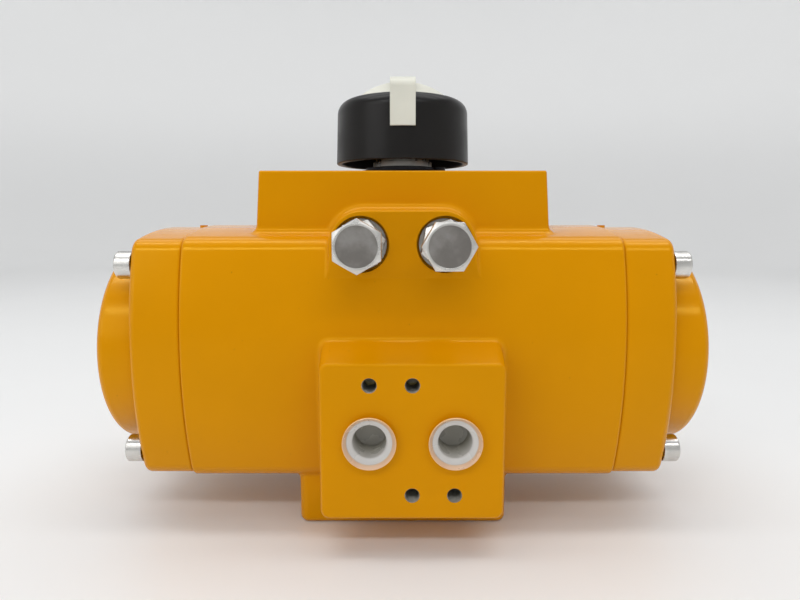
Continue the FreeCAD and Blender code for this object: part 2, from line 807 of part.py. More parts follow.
def make_lock_nut(side):
    """Hex nut that locks a stop screw."""
    x = side * stop_half_spacing
    back = stop_recess_floor() - seal_washer_thickness
    front = back - lock_nut_height
    nut = dressed_hexagon(front, back, x, lock_nut_turns[side], True, True)
    return nut.cut(rod_y(stop_thread_radius + running_clearance, front, back, x, stop_height))


def make_port_plug(side):
    """Cup-shaped plastic plug that closes an air port."""
    x = pad_centre_x + side * port_half_spacing
    front = -pad_face - plug_flange_thickness
    back = -pad_face + plug_length
    flange = rod_y(plug_flange_radius, front, -pad_face, x, port_height)
    rim = pick_edges(flange, lambda edge: edge.BoundBox.YMax < front + 0.01)
    flange = flange.makeFillet(plug_edge_radius, rim)
    stem = rod_y(plug_body_radius, -pad_face, back, x, port_height)
    recess = rod_y(plug_recess_radius, front, back - plug_floor, x, port_height)
    return flange.fuse(stem).cut(recess)


def make_pointer():
    """White pointer: low dome with a strip that folds down the front and the back."""
    sphere_radius = (dome_base_radius ** 2 + dome_rise ** 2) / (2 * dome_rise)
    sphere_centre = indicator_top + dome_rise - sphere_radius
    dome = Part.makeSphere(sphere_radius, Vector(0, 0, sphere_centre))
    dome = dome.common(rod_z(dome_base_radius, indicator_top, indicator_top + dome_rise))
    fold_height = indicator_top + pointer_fold

    def point(y, z):
        return Vector(-pointer_half_width, y, z)

    corners = [point(-pointer_face, fold_height), point(-pointer_face, pointer_end),
               point(pointer_face, pointer_end), point(pointer_face, fold_height)]
    crest = Part.Arc(corners[3], point(0, pointer_crest), corners[0]).toShape()
    edges = [Part.LineSegment(corners[index], corners[index + 1]).toShape() for index in range(3)]
    strip = Part.Face(Part.Wire(edges + [crest])).extrude(Vector(2 * pointer_half_width, 0, 0))
    folds = pick_edges(strip, lambda edge: edge.BoundBox.XLength > 1 and edge.BoundBox.ZMin > indicator_top)
    strip = strip.makeFillet(pointer_fold, folds)
    inside = pointer_face - pointer_thickness
    floor = indicator_top - pointer_bite
    hollow = block(-pointer_half_width, pointer_half_width, -inside, inside, pointer_end, floor)
    return strip.cut(hollow).fuse(dome).removeSplitter()


def make_indicator_cap():
    """Black cup-shaped indicator cap with a hub on the spindle."""
    inside_top = indicator_top - 2 * indicator_wall
    hub_top = pinion_top + ring_play
    hub_bottom = indicator_rim + hub_lift
    hub_bore = spindle_radius + running_clearance
    outline = [
        (indicator_rim_radius - indicator_wall, indicator_rim),
        (indicator_rim_radius, indicator_rim),
        (indicator_shoulder_radius, indicator_top - indicator_corner),
        (indicator_shoulder_radius, indicator_top),
        (0, indicator_top),
        (0, hub_top),
        (hub_bore, hub_top),
        (hub_bore, hub_bottom),
        (spindle_radius + hub_wall, hub_bottom),
        (spindle_radius + hub_wall, inside_top),
        (indicator_shoulder_radius - indicator_corner, inside_top),
        (indicator_shoulder_radius - indicator_wall, inside_top - indicator_wall),
    ]
    solid = turned(outline)
    shoulder = pick_edges(solid, lambda edge: edge.BoundBox.ZMin > indicator_top - 0.01)
    solid = solid.makeFillet(indicator_corner_radius, shoulder)
    rim = pick_edges(solid, lambda edge: edge.BoundBox.ZMax < indicator_rim + 0.01)
    solid = solid.makeFillet(indicator_rim_edge_radius, rim)
    half = spindle_slot_width / 2 - running_clearance
    tongue_bottom = pinion_top - spindle_slot_depth + screw_head_play
    tongue = block(-spindle_radius, spindle_radius, -half, half, tongue_bottom, hub_top)
    solid = solid.fuse(tongue.common(rod_z(spindle_radius, tongue_bottom, hub_top)))
    solid = solid.cut(rod_z(indicator_screw_head + screw_head_play, indicator_screw_seat, indicator_top))
    solid = solid.cut(rod_z(screw_hole_radius + screw_head_play, tongue_bottom, indicator_top))
    return solid.cut(make_pointer())


def make_indicator_screw():
    """Pan-head screw that holds the indicator cap on the spindle."""
    seat = indicator_screw_seat
    crown = seat + indicator_screw_head_height
    half = indicator_screw_slot / 2
    head = rod_z(indicator_screw_head, seat, crown)
    shank = rod_z(screw_hole_radius - thread_play, pinion_top - screw_hole_depth + overlap, seat)
    slot = block(-indicator_screw_head, indicator_screw_head, -half, half, (seat + crown) / 2, crown)
    return head.fuse(shank).cut(slot)


def save(name, shape):
    """Write one sub-part."""
    shape.exportStep(os.path.join("parts", name + ".step"))


def main():
    os.makedirs("parts", exist_ok=True)
    save("body", make_body())

    right_end = {
        "end_cap": make_end_cap(),
        "end_cap_seal": make_end_seal(),
        "end_cap_screws": make_cap_screws(),
    }
    for name, shape in right_end.items():
        save(name + "_right", shape)
        save(name + "_left", mirrored(shape))

    save("pinion", make_pinion())
    save("stop_cam", make_stop_cam())
    washer_bore = upper_journal_radius + ring_play
    save("cam_thrust_washer",
         ring_z(washer_bore, cam_flat, cam_top + running_clearance, pocket_ceiling - ring_play))
    save("pinion_bearing_lower", split_bearing(lower_bearing_groove, lower_bore_radius))
    save("pinion_bearing_upper", split_bearing(upper_bearing_groove, upper_bore_radius))
    save("pinion_o_ring_lower", groove_o_ring(lower_o_ring_groove, lower_bore_radius))
    save("pinion_o_ring_upper", groove_o_ring(upper_o_ring_groove, upper_bore_radius))
    save("thrust_washer",
         ring_z(washer_bore, thrust_washer_radius, block_top + running_clearance, snap_ring_groove[2]))
    save("snap_ring", make_snap_ring())

    right_piston = {
        "piston": make_piston(),
        "piston_o_ring": make_piston_o_ring(),
        "piston_wear_ring": make_wear_ring(),
        "rack_guide_pad": make_guide_pad(),
    }
    for name, shape in right_piston.items():
        save(name + "_right", shape)
        save(name + "_left", half_turn(shape))

    for name, side in (("left", -1), ("right", 1)):
        save("stop_bolt_" + name, make_stop_bolt(side))
        save("stop_lock_nut_" + name, make_lock_nut(side))
        save("stop_seal_washer_" + name, make_seal_washer(side))
        save("port_plug_" + name, make_port_plug(side))

    save("indicator_cap", make_indicator_cap())
    save("indicator_pointer", make_pointer())
    save("indicator_screw", make_indicator_screw())


main()
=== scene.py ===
import json
import math

import bmesh
import bpy
from mathutils import Matrix, Vector


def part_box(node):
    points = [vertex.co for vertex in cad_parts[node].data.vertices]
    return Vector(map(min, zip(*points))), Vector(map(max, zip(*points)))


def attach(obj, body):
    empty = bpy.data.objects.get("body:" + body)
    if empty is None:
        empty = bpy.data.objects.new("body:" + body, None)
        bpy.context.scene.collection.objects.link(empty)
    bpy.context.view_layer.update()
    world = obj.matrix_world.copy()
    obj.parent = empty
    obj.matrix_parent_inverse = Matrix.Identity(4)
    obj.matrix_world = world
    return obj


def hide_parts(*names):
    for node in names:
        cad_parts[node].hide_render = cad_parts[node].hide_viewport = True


# Looks for a rack-and-pinion pneumatic actuator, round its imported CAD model. Metres, +Z up,
# -Y towards the air ports. Positions come from the CAD nodes and from the record's mounts.

MM = 0.001
UP = Vector((0, 0, 1))
FRONT = Vector((0, -1, 0))

# Colours, linear
PAINT = (0.66, 0.262, 0.0)
GLOSS_TINT = (1.0, 0.74, 0.10)
BARE_METAL = (0.60, 0.59, 0.56)
STEEL = (0.64, 0.625, 0.595)
DISC_STEEL = (0.21, 0.195, 0.18)
# Thread metal darker than the bare aluminium it is: painted shade for the depth of the tapped
# holes.
PAINTED_SHADE_THREAD_METAL = (0.36, 0.35, 0.32)
SEAL_STEEL = (0.42, 0.41, 0.38)
PLATED_STEEL = (0.56, 0.54, 0.50)
DARK_STEEL = (0.045, 0.045, 0.048)
ALUMINIUM = (0.68, 0.68, 0.69)
SPECK = (0.30, 0.13, 0.01)
# Darker tone of the bare metal: partly random tone, partly painted shade for the depth of holes
# and bores.
MILLED_TONE_AND_SHADE = (0.42, 0.41, 0.39)
BLACK_PLASTIC = (0.0085, 0.0075, 0.0068)
RUBBER = (0.012, 0.012, 0.012)
IVORY = (0.70, 0.69, 0.60)
NYLON = (0.72, 0.70, 0.62)
CLEAR_PLASTIC = (0.70, 0.685, 0.66)
# Plug flange colour: the paint behind painted in as a see-through tint.
PAINTED_SEE_THROUGH_PLASTIC = (0.80, 0.53, 0.34)
# Plug rim colour: a painted highlight together with the see-through tint of the paint behind.
PAINTED_HIGHLIGHT_RIM_PLASTIC = (0.95, 0.62, 0.27)
# Plug recess colour: painted shade deep in the recess.
SHADED_PLASTIC = (0.42, 0.40, 0.34)
STUDIO_GREY = (0.82, 0.82, 0.815)
BACKDROP_WHITE = (0.90, 0.90, 0.895)

# Stop screws and threads
SCREW_RADIUS = 4.0 * MM
SCREW_HEAD_HEIGHT = 5.3 * MM
SCREW_DISC_RADIUS = 5.65 * MM
SCREW_THREAD_PITCH = 1.25 * MM
SCREW_THREAD_DEPTH = 0.62 * MM
TAPPED_THREAD_PITCH = 0.8 * MM
TAPPED_THREAD_DEPTH = 0.24 * MM
TAPPED_THREAD_LENGTH = 8.0 * MM
THREAD_GAP = 0.01 * MM
TAPPED_THREAD_START = 0.35 * MM
HOLE_RIM = 0.03 * MM
SHANK_MARGIN = 0.01 * MM
SCREW_RING_PITCH = 0.55 * MM
SCREW_RING_RELIEF = 0.12
SCREW_CREASE = 25.0
THREAD_STEPS_PER_PITCH = 8
THREAD_SEGMENTS = 48
TURNED_SEGMENTS = 96
WELD_DISTANCE = 0.5e-6

# Flange underside and drive bore, left as bare metal
UNDERSIDE_HEIGHT = 0.05 * MM
BARE_BORE_RADIUS = 17.6 * MM

# Camera
CAMERA_PLACE = Vector((-0.85, -205.9, 96.0)) * MM
CAMERA_PITCH = 0.133
CAMERA_LENS = 26.325
CAMERA_CLIP = 0.01

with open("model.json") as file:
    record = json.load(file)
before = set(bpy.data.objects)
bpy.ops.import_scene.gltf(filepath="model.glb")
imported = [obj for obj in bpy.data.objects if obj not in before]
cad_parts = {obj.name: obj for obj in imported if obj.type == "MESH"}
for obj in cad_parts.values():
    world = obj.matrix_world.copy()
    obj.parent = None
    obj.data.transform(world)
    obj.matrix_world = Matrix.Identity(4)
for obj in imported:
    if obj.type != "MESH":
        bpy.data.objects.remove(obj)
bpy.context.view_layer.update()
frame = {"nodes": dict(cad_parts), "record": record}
nodes = frame["nodes"]
mounts = {mount["name"]: mount for mount in frame["record"]["mounts"]}


# ---------------------------------------------------------------- node materials

class Look:
    """A material round a Principled shader, with short calls that add nodes to it."""

    def __init__(self, name, colour, roughness, metallic=0.0):
        self.material = bpy.data.materials.new(name)
        self.material.use_nodes = True
        self.tree = self.material.node_tree
        self.shader = self.tree.nodes["Principled BSDF"]
        self.place = self.add("ShaderNodeTexCoord").outputs["Object"]
        self.colour = colour + (1.0,)
        self.roughness = roughness
        self.normal = None
        self.set("Base Color", self.colour)
        self.set("Roughness", roughness)
        self.set("Metallic", metallic)

    def add(self, kind, inputs=None, **settings):
        """A new node; each input is a socket to link or a plain value."""
        node = self.tree.nodes.new(kind)
        for name, value in settings.items():
            setattr(node, name, value)
        for name, value in (inputs or {}).items():
            self.feed(node.inputs[name], value)
        return node

    def feed(self, socket, value):
        """Link a socket, or give it a plain value."""
        if isinstance(value, bpy.types.NodeSocket):
            self.tree.links.new(value, socket)
        else:
            socket.default_value = value

    def set(self, name, value):
        """Set or link one input of the shader."""
        self.feed(self.shader.inputs[name], value)

    def math(self, operation, first, second=0.0):
        """Result of one sum."""
        return self.add("ShaderNodeMath", {0: first, 1: second}, operation=operation).outputs[0]

    def vector_math(self, operation, first, second):
        """Result of one vector sum, a vector or a value."""
        node = self.add("ShaderNodeVectorMath", {0: first, 1: second}, operation=operation)
        return node.outputs["Value" if operation in ("DISTANCE", "DOT_PRODUCT") else "Vector"]

    def noise(self, scale, detail=3.0, stretch=(1.0, 1.0, 1.0)):
        """Noise from 0 to 1, with lumps of about one metre over the scale."""
        place = self.place
        if stretch != (1.0, 1.0, 1.0):
            place = self.vector_math("MULTIPLY", self.place, stretch)
        inputs = {"Vector": place, "Scale": scale, "Detail": detail}
        return self.add("ShaderNodeTexNoise", inputs).outputs[0]

    def ramp(self, value, low, high, out_low=0.0, out_high=1.0):
        """Value carried smoothly from one range to another."""
        inputs = {
            "Value": value,
            "From Min": low,
            "From Max": high,
            "To Min": out_low,
            "To Max": out_high,
        }
        return self.add("ShaderNodeMapRange", inputs, interpolation_type="SMOOTHSTEP").outputs[0]

    def mix(self, factor, first, second):
        """Colour between two colours."""
        node = self.add("ShaderNodeMix", data_type="RGBA")
        self.feed(node.inputs[0], factor)
        self.feed(node.inputs[6], first)
        self.feed(node.inputs[7], second)
        return node.outputs[2]

    def blend(self, factor, first, second):
        """Number between two numbers."""
        node = self.add("ShaderNodeMix", data_type="FLOAT")
        self.feed(node.inputs[0], factor)
        self.feed(node.inputs[2], first)
        self.feed(node.inputs[3], second)
        return node.outputs[0]

    def vary_colour(self, amount, scale, detail=3.0):
        """Lighter and darker patches over the base colour."""
        dark = tuple(channel * (1 - amount) for channel in self.colour[:3]) + (1.0,)
        light = tuple(min(channel * (1 + amount), 1.0) for channel in self.colour[:3]) + (1.0,)
        self.colour = self.mix(self.ramp(self.noise(scale, detail), 0.3, 0.7), dark, light)
        self.set("Base Color", self.colour)

    def vary_roughness(self, low, high, scale, detail=3.0, stretch=(1.0, 1.0, 1.0)):
        """Smoother and rougher patches."""
        self.roughness = self.ramp(self.noise(scale, detail, stretch), 0.3, 0.7, low, high)
        self.set("Roughness", self.roughness)

    def bump(self, height, strength, distance):
        """One more layer of relief."""
        inputs = {"Height": height, "Strength": strength, "Distance": distance}
        if self.normal:
            inputs["Normal"] = self.normal
        self.normal = self.add("ShaderNodeBump", inputs).outputs[0]
        self.set("Normal", self.normal)

    def soften_edges(self, radius):
        """Worn, rounded look of sharp edges. Comes before any bump."""
        self.normal = self.add("ShaderNodeBevel", {"Radius": radius}, samples=4).outputs[0]
        self.set("Normal", self.normal)

    def radius_about(self, point, axis):
        """Distance from an axis along X, Y or Z through a point."""
        flat = tuple(0.0 if abs(component) > 0.5 else 1.0 for component in axis)
        centre = tuple(value * keep for value, keep in zip(point, flat))
        return self.vector_math("DISTANCE", self.vector_math("MULTIPLY", self.place, flat), centre)


def hole_places(name):
    """Centres of the holes of one of the record's bolt patterns."""
    mount = mounts[name]
    dims = mount["dims"]
    middle = Vector(mount["pos_m"])
    if "pcd_mm" in dims:
        reach = dims["pcd_mm"] / 2 * MM
        turns = [math.radians(45 + 360 / dims["count"] * index) for index in range(dims["count"])]
        return [middle + Vector((math.cos(turn), math.sin(turn), 0)) * reach for turn in turns]
    half_x = dims["spacing_x_mm"] / 2 * MM
    half_y = dims.get("spacing_y_mm", 0.0) / 2 * MM
    rows = sorted({-half_y, half_y})
    return [middle + Vector((x, y, 0)) for x in (-half_x, half_x) for y in rows]


TAPPED_HOLES = {
    "valve_pad_bolts_upper": FRONT,
    "valve_pad_bolts_lower": FRONT,
    "accessory_bolts": UP,
    "valve_flange_bolts": -UP,
}


def paint_look(name, orange_peel):
    """Glossy yellow powder coat with a fine orange peel, a few specks and handling marks."""
    look = Look(name, PAINT, 0.3)
    look.vary_colour(0.02, 28.0, 4.0)
    speck = look.ramp(look.noise(900.0, 1.0), 0.79, 0.83)
    look.colour = look.mix(look.math("MULTIPLY", speck, 0.5), look.colour, SPECK + (1.0,))
    look.set("Base Color", look.colour)
    look.vary_roughness(0.15, 0.22, 55.0, 5.0)
    look.set("Specular IOR Level", 0.5)
    look.set("Specular Tint", GLOSS_TINT + (1.0,))
    look.soften_edges(0.35 * MM)
    look.bump(look.noise(420.0, 2.0), orange_peel, 0.12 * MM)
    look.bump(look.noise(1500.0, 2.0), orange_peel * 0.5, 0.04 * MM)
    return look


def body_look():
    """Powder coat of the body, with bare metal in its tapped holes, its bores and its flange;
    noise mixes a darker tone into the bare metal, partly random tone and partly painted shade for
    the depth of holes and bores.
    """
    look = paint_look("yellow_paint_body", 0.16)
    bare = 0.0
    for name, axis in TAPPED_HOLES.items():
        rim = mounts[name]["dims"]["hole_r_mm"] * MM + HOLE_RIM
        for place in hole_places(name):
            near = look.math("LESS_THAN", look.radius_about(place, axis), rim)
            side = look.vector_math("DOT_PRODUCT", look.place, tuple(axis))
            deep = look.math("GREATER_THAN", side, place.dot(axis) - TAPPED_THREAD_LENGTH * 2)
            bare = look.math("MAXIMUM", bare, look.math("MULTIPLY", near, deep))
    height = look.vector_math("DOT_PRODUCT", look.place, tuple(UP))
    bare = look.math("MAXIMUM", bare, look.math("LESS_THAN", height, UNDERSIDE_HEIGHT))
    shaft = look.math("LESS_THAN", look.radius_about((0, 0, 0), UP), BARE_BORE_RADIUS)
    bare = look.math("MAXIMUM", bare, shaft)
    # Noise mixes in a darker bare tone: partly random tone, partly painted shade in the holes and
    # bores.
    bare_tone_and_shade = look.mix(look.noise(700.0, 2.0), MILLED_TONE_AND_SHADE + (1.0,), BARE_METAL + (1.0,))
    look.set("Base Color", look.mix(bare, look.colour, bare_tone_and_shade))
    look.set("Metallic", bare)
    look.set("Roughness", look.blend(bare, look.roughness, 0.34))
    return look.material


def cap_look():
    """Powder coat of the cast end caps, a little coarser than on the body."""
    return paint_look("yellow_paint_caps", 0.24).material


def turned_steel(name, point, axis, ring_pitch, relief):
    """Bright stainless steel, duller on its disc, with fine turning marks round an axis."""
    look = Look(name, STEEL, 0.26, 1.0)
    look.vary_colour(0.07, 260.0, 4.0)
    radius = look.radius_about(point, axis)
    worn = look.ramp(look.noise(160.0, 4.0), 0.35, 0.75, 0.0, 0.3)
    disc = look.ramp(radius, SCREW_DISC_RADIUS - 0.1 * MM, SCREW_DISC_RADIUS + 0.1 * MM, 1.0, 0.0)
    disc = look.math("MULTIPLY", disc, look.math("SUBTRACT", 1.0, worn))
    look.set("Base Color", look.mix(disc, look.colour, DISC_STEEL + (1.0,)))
    uneven = look.math("MULTIPLY", look.noise(180.0, 2.0), ring_pitch * 2)
    turns = look.math("MULTIPLY", look.math("ADD", radius, uneven), math.tau / ring_pitch)
    marks = look.math("MULTIPLY", look.math("SINE", turns), look.noise(500.0, 2.0))
    look.vary_roughness(0.24, 0.36, 320.0, 4.0)
    look.set("Roughness", look.blend(disc, look.roughness, 0.46))
    look.soften_edges(0.2 * MM)
    look.bump(marks, relief, 0.02 * MM)
    look.bump(look.noise(1400.0, 3.0), 0.08, 0.02 * MM)
    return look.material


def drawn_steel(name, colour, low, high, stretch):
    """Metal with a fine grain along one direction."""
    look = Look(name, colour, 0.3, 1.0)
    look.vary_colour(0.10, 240.0, 4.0)
    look.vary_roughness(low, high, 300.0, 4.0, stretch)
    look.soften_edges(0.2 * MM)
    look.bump(look.noise(900.0, 3.0, stretch), 0.2, 0.03 * MM)
    return look.material


def moulded_plastic(name, colour, low, high, grain, gloss=0.0):
    """Moulded plastic with a faint grain, softer patches and small scuffs."""
    look = Look(name, colour, (low + high) / 2)
    look.vary_colour(0.06, 60.0, 4.0)
    look.vary_roughness(low, high, 95.0, 6.0)
    look.set("Coat Weight", gloss)
    look.set("Coat Roughness", 0.2)
    look.soften_edges(0.3 * MM)
    look.bump(look.noise(1100.0, 3.0), grain, 0.04 * MM)
    scuffs = look.ramp(look.noise(260.0, 2.0, (1.0, 1.0, 0.12)), 0.66, 0.74)
    look.bump(scuffs, grain * 0.6, 0.03 * MM)
    return look


def clear_look(name, point, flange):
    """Milky translucent polyethylene with light painted into its colour: the paint behind painted
    in as a see-through tint on its thin flange, most on the rim, a painted highlight on the rim
    and painted shade deep in its recess.
    """
    look = Look(name, CLEAR_PLASTIC, 0.3)
    look.vary_colour(0.02, 90.0, 3.0)
    radius = look.radius_about(point, FRONT)
    # Painted light: the paint behind painted in as a see-through tint on the flange.
    inside = look.ramp(radius, flange - 1.25 * MM, flange - 1.0 * MM)
    # Painted highlight on the rim, with the see-through tint of the paint behind.
    rim = look.ramp(radius, flange - 0.25 * MM, flange - 0.1 * MM)
    # Painted shade deep in the recess of the plug.
    deep = look.ramp(radius, flange - 3.0 * MM, flange - 2.7 * MM, 1.0, 0.0)
    look.colour = look.mix(deep, look.colour, SHADED_PLASTIC + (1.0,))
    look.colour = look.mix(inside, look.colour, PAINTED_SEE_THROUGH_PLASTIC + (1.0,))
    look.set("Base Color", look.mix(rim, look.colour, PAINTED_HIGHLIGHT_RIM_PLASTIC + (1.0,)))
    look.vary_roughness(0.22, 0.34, 120.0, 4.0)
    look.set("IOR", 1.5)
    look.set("Transmission Weight", 0.12)
    look.set("Subsurface Weight", 0.3)
    look.set("Subsurface Radius", (1.5 * MM, 1.4 * MM, 1.3 * MM))
    look.set("Coat Weight", 0.3)
    look.set("Coat Roughness", 0.15)
    look.bump(look.noise(500.0, 3.0), 0.06, 0.03 * MM)
    return look.material


def make_looks():
    """Material of each CAD node, by the record's slots."""
    black = moulded_plastic("black_plastic", BLACK_PLASTIC, 0.28, 0.42, 0.2, 0.12)
    black.set("Specular IOR Level", 0.16)
    ivory = moulded_plastic("ivory_plastic", IVORY, 0.36, 0.5, 0.18)
    ivory.set("Subsurface Weight", 0.12)
    ivory.set("Subsurface Radius", (2.0 * MM, 1.8 * MM, 1.4 * MM))
    return {
        "stainless": drawn_steel("stainless", STEEL, 0.2, 0.36, (0.2, 1.0, 1.0)),
        "seal_steel": drawn_steel("seal_steel", SEAL_STEEL, 0.3, 0.45, (1.0, 1.0, 1.0)),
        "plated_steel": drawn_steel("plated_steel", PLATED_STEEL, 0.22, 0.4, (1.0, 1.0, 0.2)),
        "spring_steel": drawn_steel("spring_steel", DARK_STEEL, 0.35, 0.5, (1.0, 1.0, 1.0)),
        "bare_aluminium": drawn_steel("bare_aluminium", ALUMINIUM, 0.3, 0.5, (0.2, 1.0, 1.0)),
        "black_rubber": moulded_plastic("black_rubber", RUBBER, 0.5, 0.7, 0.3).material,
        "white_nylon": moulded_plastic("white_nylon", NYLON, 0.4, 0.55, 0.2).material,
        "black_plastic": black.material,
        "ivory_plastic": ivory.material,
        # The tapped threads get a darkened metal: painted shade for the depth of their holes.
        "tapped_thread": drawn_steel("tapped_thread", PAINTED_SHADE_THREAD_METAL, 0.3, 0.45, (1.0, 1.0, 1.0)),
        "clear_plastic": clear_look("clear_plastic", (0, 0, 0), 7.55 * MM),
        "yellow_paint": cap_look(),
    }


def dress(obj, material):
    """Give an object one material through its own slot."""
    if not obj.material_slots:
        obj.data.materials.append(material)
    for slot in obj.material_slots:
        slot.link = "OBJECT"
        slot.material = material


# ---------------------------------------------------------------- meshes

def mesh_object(name, vertices, faces):
    """Closed object from vertices and faces, smooth but for its creases."""
    mesh = bpy.data.meshes.new(name)
    mesh.from_pydata([tuple(vertex) for vertex in vertices], [], faces)
    return finished(name, mesh)


def finished(name, mesh, crease=35.0):
    """Object of a mesh whose faces all look outwards, with normals from its own faces."""
    if "custom_normal" in mesh.attributes:
        mesh.attributes.remove(mesh.attributes["custom_normal"])
    work = bmesh.new()
    work.from_mesh(mesh)
    bmesh.ops.remove_doubles(work, verts=work.verts, dist=WELD_DISTANCE)
    bmesh.ops.recalc_face_normals(work, faces=work.faces)
    for face in work.faces:
        face.smooth = True
    work.to_mesh(mesh)
    work.free()
    mesh.set_sharp_from_angle(angle=math.radians(crease))
    obj = bpy.data.objects.new(name, mesh)
    bpy.context.scene.collection.objects.link(obj)
    return obj


def grid_faces(rows, columns, closed_rows=False):
    """Quads over rows of points, each row a closed ring."""
    faces = []
    for row in range(rows if closed_rows else rows - 1):
        after = (row + 1) % rows
        for column in range(columns):
            beside = (column + 1) % columns
            faces.append((row * columns + column, row * columns + beside,
                          after * columns + beside, after * columns + column))
    return faces


def fan_faces(row, columns, centre):
    """Triangles that close one ring of a grid round a centre vertex."""
    first = row * columns
    return [(first + column, first + (column + 1) % columns, centre) for column in range(columns)]


def turned_solid(name, profile, place, axis):
    """Solid of revolution: (radius, height) points from the axis round to the axis again."""
    turn = UP.rotation_difference(axis).to_matrix()
    inner = [point for point in profile if point[0] > 0]
    vertices = []
    for radius, height in inner:
        for index in range(TURNED_SEGMENTS):
            angle = math.tau * index / TURNED_SEGMENTS
            vertices.append(Vector((radius * math.cos(angle), radius * math.sin(angle), height)))
    faces = grid_faces(len(inner), TURNED_SEGMENTS)
    for row, height in ((0, profile[0][1]), (len(inner) - 1, profile[-1][1])):
        vertices.append(Vector((0, 0, height)))
        faces += fan_faces(row, TURNED_SEGMENTS, len(vertices) - 1)
    return mesh_object(name, [place + turn @ vertex for vertex in vertices], faces)


def thread_profile(phase):
    """Height of a trapezoid thread, 0 at the root and 1 at the crest, over one pitch."""
    phase = phase % 1.0
    rise = min(phase, 1.0 - phase) * 2
    return min(max((rise - 0.15) / 0.7, 0.0), 1.0)


def thread_rings(root, crest, pitch, length):
    """Rings of points along +Z whose radius follows a helix between root and crest."""
    steps = round(length / pitch * THREAD_STEPS_PER_PITCH)
    rings = []
    for step in range(steps + 1):
        height = length * step / steps
        fade = min(1.0, height / pitch, (length - height) / pitch)
        ring = []
        for index in range(THREAD_SEGMENTS):
            angle = math.tau * index / THREAD_SEGMENTS
            ridge = thread_profile(height / pitch - index / THREAD_SEGMENTS) * fade
            radius = root + (crest - root) * ridge
            ring.append(Vector((radius * math.cos(angle), radius * math.sin(angle), height)))
        rings.append(ring)
    return rings


def thread_sleeve(radius, depth, pitch, length):
    """Vertices and faces of a thin tube whose inside is a tapped thread, from z = 0 down."""
    rings = thread_rings(radius - THREAD_GAP, radius - depth, pitch, length)
    outside = []
    for height in (length, 0.0):
        points = [Vector((math.cos(turn), math.sin(turn), 0)) * radius for turn in ring_turns()]
        outside.append([point + UP * height for point in points])
    rings += outside
    vertices = [point - UP * length for ring in rings for point in ring]
    return vertices, grid_faces(len(rings), THREAD_SEGMENTS, closed_rows=True)


def ring_turns():
    """Angles of the points of one ring."""
    return [math.tau * index / THREAD_SEGMENTS for index in range(THREAD_SEGMENTS)]


# ---------------------------------------------------------------- pieces

def tapped_threads(name):
    """Threads inside the holes of one of the record's bolt patterns."""
    axis = TAPPED_HOLES[name]
    turn = UP.rotation_difference(axis).to_matrix()
    radius = mounts[name]["dims"]["hole_r_mm"] * MM - THREAD_GAP
    sleeve, sleeve_faces = thread_sleeve(
        radius, TAPPED_THREAD_DEPTH, TAPPED_THREAD_PITCH, TAPPED_THREAD_LENGTH)
    vertices = []
    faces = []
    for place in hole_places(name):
        start = len(vertices)
        mouth = place - axis * TAPPED_THREAD_START
        vertices += [mouth + turn @ point for point in sleeve]
        faces += [tuple(start + index for index in face) for face in sleeve_faces]
    obj = mesh_object(name.replace("bolts", "threads"), vertices, faces)
    dress(obj, looks["tapped_thread"])
    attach(obj, "housing")


def hex_screw(side, body):
    """Stop screw: its hexagon head as in the CAD node, and a shank with its thread."""
    node = nodes["stop_bolt_" + side]
    low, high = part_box(node.name)
    x = (low.x + high.x) / 2
    z = (low.z + high.z) / 2
    head_back = low.y + SCREW_HEAD_HEIGHT

    work = bmesh.new()
    work.from_mesh(node.data)
    bmesh.ops.remove_doubles(work, verts=work.verts, dist=WELD_DISTANCE)

    def on_shank(vertex):
        from_axis = math.hypot(vertex.co.x - x, vertex.co.z - z)
        return from_axis < SCREW_RADIUS + SHANK_MARGIN and vertex.co.y > head_back - SHANK_MARGIN

    shank = [face for face in work.faces if all(on_shank(vertex) for vertex in face.verts)]
    bmesh.ops.delete(work, geom=shank, context="FACES")
    loose = [vertex for vertex in work.verts if not vertex.link_faces]
    bmesh.ops.delete(work, geom=loose, context="VERTS")
    bmesh.ops.holes_fill(work, edges=[edge for edge in work.edges if edge.is_boundary])

    length = high.y - head_back
    root = SCREW_RADIUS - SCREW_THREAD_DEPTH
    rings = thread_rings(root, SCREW_RADIUS, SCREW_THREAD_PITCH, length)
    turn = UP.rotation_difference(-FRONT).to_matrix()
    base = Vector((x, head_back, z))
    shank_mesh = bpy.data.meshes.new("shank")
    points = [base + turn @ point for ring in rings for point in ring]
    ends = [base, base - FRONT * length]
    faces = grid_faces(len(rings), THREAD_SEGMENTS)
    for row, centre in ((0, len(points)), (len(rings) - 1, len(points) + 1)):
        faces += fan_faces(row, THREAD_SEGMENTS, centre)
    shank_mesh.from_pydata([tuple(point) for point in points + ends], [], faces)
    work.from_mesh(shank_mesh)
    bpy.data.meshes.remove(shank_mesh)

    mesh = bpy.data.meshes.new("stop_screw_" + side)
    work.to_mesh(mesh)
    work.free()
    obj = finished("hex_screw_" + side, mesh, SCREW_CREASE)
    axis_point = (x, 0.0, z)
    look_name = "stainless_screw_" + side
    dress(obj, turned_steel(look_name, axis_point, FRONT, SCREW_RING_PITCH, SCREW_RING_RELIEF))
    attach(obj, body)
    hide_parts(node.name)


